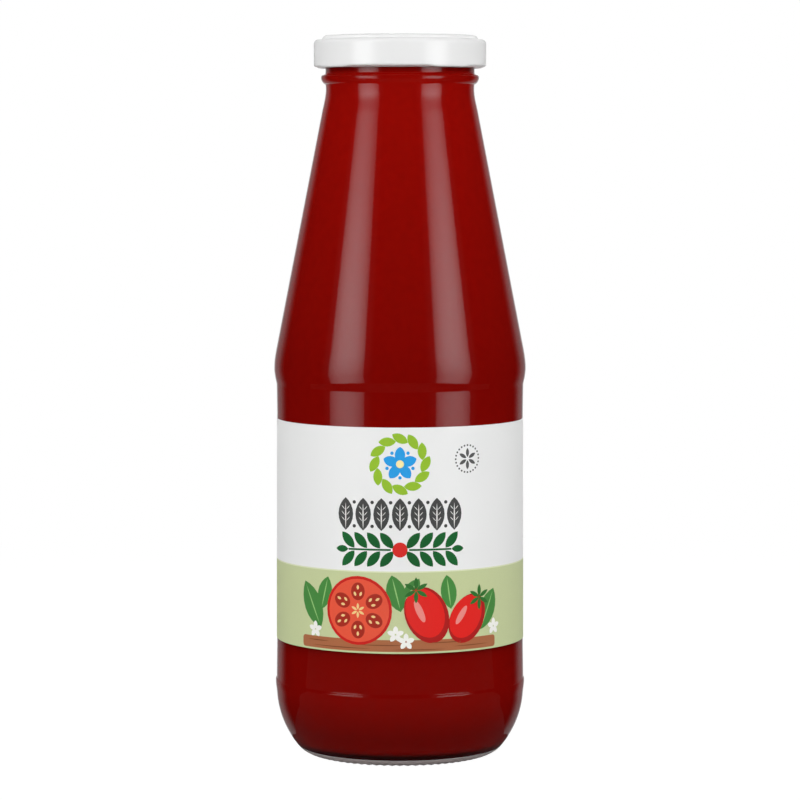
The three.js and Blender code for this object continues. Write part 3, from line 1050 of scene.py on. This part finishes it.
calyxes = start_print("plum_calyxes")
for across, up, radius, tall, turn in PLUMS:
    tip = radius * tall * CALYX_SHARE
    turn = math.radians(turn)
    stalk = ((across - tip * math.sin(turn)) * MM, (up + tip * math.cos(turn)) * MM)
    leaf(stalk[0], stalk[1] + CALYX_LEAVES_AT, length=4.0 * MM, width=1.35 * MM)
    copy_round(CALYX_LEAVES, *stalk)
print_on(calyxes, 6, "calyx_ink", 46, 116, 44)

board_blossoms = start_print("board_blossoms")
for across, up in BLOSSOMS:
    leaf(across * MM, up * MM + BLOSSOM_PETALS_AT, length=2.5 * MM, width=1.6 * MM)
    copy_round(PETALS, across * MM, up * MM)
print_on(board_blossoms, 7, "white_petal_ink", 246, 246, 240)

# On the back of the label, beside the lap: a plain frame in one thin line of pale ink, with a
# sprig of seven green leaves inside it.
FRAME_AT = -92 * MM
FRAME_SIZE = (40 * MM, 30 * MM)
FRAME_HEIGHT = 87 * MM
FRAME_LINE = 0.45 * MM
SPRIG_STEM_LOW = 3.6 * MM
SPRIG_TIP = 9.4 * MM
SPRIG_PAIRS_AT = (-8 * MM, -2.8 * MM, 2.4 * MM)
SPRIG_LEAVES_OUT = 3.1 * MM

back_frame = start_print("back_frame")
pen = pen_at(FRAME_AT - FRAME_SIZE[0] / 2, FRAME_HEIGHT - FRAME_SIZE[1] / 2)
pen = line_to(pen, pen[0] + FRAME_SIZE[0], pen[1])
pen = line_to(pen, pen[0], pen[1] + FRAME_SIZE[1])
pen = line_to(pen, pen[0] - FRAME_SIZE[0], pen[1])
fill_outline()
bpy.ops.mesh.inset(thickness=FRAME_LINE)
bpy.ops.mesh.delete(type="FACE")
print_on(back_frame, 1, "back_frame_ink", 160, 176, 110)

back_sprig = start_print("back_sprig")
leaf(FRAME_AT, FRAME_HEIGHT - SPRIG_STEM_LOW, length=19 * MM, width=0.7 * MM)
leaf(FRAME_AT, FRAME_HEIGHT + SPRIG_TIP, length=6.5 * MM, width=3.2 * MM)
for up in SPRIG_PAIRS_AT:
    for side in (-1, 1):
        across = FRAME_AT + SPRIG_LEAVES_OUT * side
        leaf(across, FRAME_HEIGHT + up, length=6.4 * MM, width=2.9 * MM, turn=-48 * side)
print_on(back_sprig, 1, "sprig_ink", 2, 98, 39)

# The camera stands where the photograph was taken from: an arm's length away, a little above
# the middle of the bottle and tipped slightly down.
CAMERA_BACK = 1.1232
CAMERA_HEIGHT = 0.2025
CAMERA_DOWN_DEG = 4.43
CAMERA_LENS = 155.4
camera_tilt = math.radians(90 - CAMERA_DOWN_DEG)
bpy.ops.object.camera_add(location=(0, -CAMERA_BACK, CAMERA_HEIGHT), rotation=(camera_tilt, 0, 0))
camera = bpy.context.object
camera.data.lens = CAMERA_LENS
camera.data.sensor_width = 36
bpy.context.scene.camera = camera
bpy.context.scene.view_settings.view_transform = "Standard"

# The softboxes: a tall one on either side of the camera, which the glass shows as two upright
# strips, and a wide dim one behind and a small one overhead. Each profile gives how bright a panel
# is from its middle line to its edge, and the levels how bright it is at each height in metres.
SOFTBOX_AWAY = 1.0
SOFTBOX_AT_DEG = 50
SOFTBOX_WIDTH = 0.98
SOFTBOX_PROFILE = ((0, 1), (0.3, 0.86), (0.59, 0.40), (0.66, 0.035), (1, 0))
SOFTBOX_LOW = -0.35
SOFTBOX_HIGH = 0.85
SOFTBOX_LEVELS = (
    (-0.35, 1.5), (0.04, 1.8), (0.23, 2.4), (0.44, 3.0),
    (0.50, 2.5), (0.544, 1.94), (0.62, 1.2), (0.85, 0.4),
)
BACK_AWAY = 1.5
BACK_WIDTH = 3.46
BACK_LOW = -2
BACK_HIGH = 1.2
BACK_GLOW = 0.9
BACK_PROFILE = (
    (0, 0.62), (0.2, 0.62), (0.27, 0.29), (0.563, 0.27),
    (0.64, 0.205), (0.712, 0.138), (0.789, 0.073), (0.867, 0.035), (1, 0),
)
OVERHEAD_HEIGHT = 1.2
OVERHEAD_SIZE = 1.2
OVERHEAD_GLOW = 0.2


def glow_panel(name, place, width, low, high, turn_deg):
    """An upright panel of light that faces the bottle, hidden from the camera."""
    bpy.ops.object.select_all(action="DESELECT")
    bpy.ops.mesh.primitive_plane_add(size=1, rotation=(math.pi / 2, 0, 0))
    panel = bpy.context.object
    panel.name = name
    bpy.ops.object.transform_apply(location=True, rotation=True, scale=True)
    panel.scale = (width, 1, high - low)
    panel.rotation_euler = (0, 0, math.radians(turn_deg))
    panel.location = (place[0], place[1], (low + high) / 2)
    panel.visible_camera = False
    material = bpy.data.materials.new(name)
    material.use_nodes = True
    nodes = material.node_tree.nodes
    nodes.clear()
    glow = nodes.new("ShaderNodeEmission")
    output = nodes.new("ShaderNodeOutputMaterial")
    material.node_tree.links.new(glow.outputs["Emission"], output.inputs["Surface"])
    panel.data.materials.append(material)
    return material, glow.inputs["Strength"]


def off_middle(panel):
    """How far a place is from a panel's middle line, as a share of the way to its edge."""
    across = sums(panel, "MULTIPLY_ADD", coordinates(panel, "UV")["X"], 2, -1)
    return sums(panel, "ABSOLUTE", across)


peak = max(level for _, level in SOFTBOX_LEVELS)
tall = SOFTBOX_HIGH - SOFTBOX_LOW
heights = [((height - SOFTBOX_LOW) / tall, level / peak) for height, level in SOFTBOX_LEVELS]
for name, side in (("softbox_left", -1), ("softbox_right", 1)):
    turn = math.radians(SOFTBOX_AT_DEG) * side
    place = (math.sin(turn) * SOFTBOX_AWAY, -math.cos(turn) * SOFTBOX_AWAY)
    softbox, strength = glow_panel(
        name, place, SOFTBOX_WIDTH, SOFTBOX_LOW, SOFTBOX_HIGH, SOFTBOX_AT_DEG * side
    )
    upward = ramp(softbox, coordinates(softbox, "UV")["Y"], heights)
    outward = ramp(softbox, off_middle(softbox), SOFTBOX_PROFILE)
    level = sums(softbox, "MULTIPLY", upward, outward)
    join(softbox, [strength], [sums(softbox, "MULTIPLY", level, peak)])

back, strength = glow_panel("back_panel", (0, BACK_AWAY), BACK_WIDTH, BACK_LOW, BACK_HIGH, 180)
outward = ramp(back, off_middle(back), BACK_PROFILE)
join(back, [strength], [sums(back, "MULTIPLY", outward, BACK_GLOW)])
bpy.context.object.visible_diffuse = False

strength = glow_panel("overhead", (0, 0), OVERHEAD_SIZE, 0, OVERHEAD_SIZE, 0)[1]
strength.default_value = OVERHEAD_GLOW
bpy.context.object.rotation_euler = (math.pi / 2, 0, 0)
bpy.context.object.location = (0, 0, OVERHEAD_HEIGHT)

# The floor: a sweep that shows white to the camera and casts little light up. A half disc of dark
# table in front cuts off the strips' lower ends, and a small disc darkens what the foot mirrors.
TABLE_RADIUS = 0.39
TABLE_ALBEDO = 0.12
TABLE_DEPTH = 0.5 * MM
NEAR_RADIUS = 0.043
NEAR_DEPTH = 0.4 * MM
FLOOR_SIZE = 20
FLOOR_DEPTH = 0.05 * MM
FLOOR_ALBEDO = 0.08
FLOOR_GLOW = 0.97
FLOOR_CLEAR = 0.16
FLOOR_WHITE = 0.6

grey_card, _ = new_material("grey_card", {
    "Base Color": (TABLE_ALBEDO, TABLE_ALBEDO, TABLE_ALBEDO, 1),
    "Roughness": 1, "Specular IOR Level": 0,
})


def card_disc(name, radius, depth):
    """A disc of grey card at that depth under the foot, seen only in reflections."""
    bpy.ops.object.select_all(action="DESELECT")
    bpy.ops.mesh.primitive_circle_add(
        vertices=64, radius=radius, fill_type="NGON", location=(0, 0, -depth)
    )
    card = bpy.context.object
    card.name = name
    card.visible_camera = card.visible_diffuse = card.visible_shadow = False
    card.data.materials.append(grey_card)


card_disc("dark_table", TABLE_RADIUS, TABLE_DEPTH)
bpy.ops.object.mode_set(mode="EDIT")
bpy.ops.mesh.bisect(plane_co=(0, 0, 0), plane_no=(0, 1, 0), clear_outer=True)
bpy.ops.object.mode_set(mode="OBJECT")
card_disc("near_table", NEAR_RADIUS, NEAR_DEPTH)


def mixed(owner, share, first, second):
    """Two shaders of a material or of the world, mixed by a share."""
    mix = owner.node_tree.nodes.new("ShaderNodeMixShader")
    join(owner, mix.inputs, (share, first, second))
    return mix.outputs["Shader"]


bpy.ops.mesh.primitive_plane_add(size=FLOOR_SIZE, location=(0, 0, -FLOOR_DEPTH))
floor = bpy.context.object
floor.name = "floor"
floor.visible_glossy = False
pale, inputs = new_material("pale_floor", {
    "Base Color": (FLOOR_ALBEDO, FLOOR_ALBEDO, FLOOR_ALBEDO, 1),
    "Roughness": 0.9, "Specular IOR Level": 0, "Emission Color": (1, 1, 1, 1),
})
nodes, links = pale.node_tree.nodes, pale.node_tree.links
to_camera = nodes.new("ShaderNodeLightPath").outputs["Is Camera Ray"]
links.new(sums(pale, "MULTIPLY", to_camera, FLOOR_GLOW), inputs["Emission Strength"])
length = nodes.new("ShaderNodeVectorMath")
length.operation = "LENGTH"
links.new(nodes.new("ShaderNodeTexCoord").outputs["Object"], length.inputs[0])
fade = nodes.new("ShaderNodeMapRange")
fade.interpolation_type = "SMOOTHSTEP"
fade.inputs["From Min"].default_value = FLOOR_CLEAR
fade.inputs["From Max"].default_value = FLOOR_WHITE
links.new(length.outputs["Value"], fade.inputs["Value"])
white = nodes.new("ShaderNodeEmission")
white.inputs["Color"].default_value = (1, 1, 1, 1)
links.new(to_camera, white.inputs["Strength"])
lit = nodes["Principled BSDF"].outputs["BSDF"]
sweep = mixed(pale, fade.outputs["Result"], lit, white.outputs["Emission"])
links.new(sweep, nodes["Material Output"].inputs["Surface"])
floor.data.materials.append(pale)

# The room: white to the camera, nearly dark in reflections, and otherwise a soft glow that is
# stronger from the front and falls off upwards.
AMBIENT = 4.65
AMBIENT_FRONT = 2.72
AMBIENT_FALL = 1.42
MIRRORED_ROOM = 0.004

world = bpy.data.worlds.new("studio")
world.use_nodes = True
bpy.context.scene.world = world
nodes, links = world.node_tree.nodes, world.node_tree.links
nodes.clear()


def room(strength):
    """A white background; its strength is a number or a socket."""
    background = nodes.new("ShaderNodeBackground")
    background.inputs["Color"].default_value = (1, 1, 1, 1)
    join(world, [background.inputs["Strength"]], [strength])
    return background.outputs["Background"]


direction = coordinates(world, "Generated")
frontal = sums(world, "MULTIPLY", direction["Y"], -1, clamp=True)
level = sums(world, "MULTIPLY_ADD", sums(world, "POWER", frontal, 2), AMBIENT_FRONT, AMBIENT)
fall = sums(world, "MULTIPLY_ADD", direction["Z"], -AMBIENT_FALL, 1, clamp=True)
rays = nodes.new("ShaderNodeLightPath").outputs
mirrored = sums(world, "SUBTRACT", rays["Is Glossy Ray"], rays["Is Transmission Ray"], clamp=True)
unseen = mixed(world, mirrored, room(sums(world, "MULTIPLY", level, fall)), room(MIRRORED_ROOM))
output = nodes.new("ShaderNodeOutputWorld")
links.new(mixed(world, rays["Is Camera Ray"], unseen, room(1)), output.inputs["Surface"])
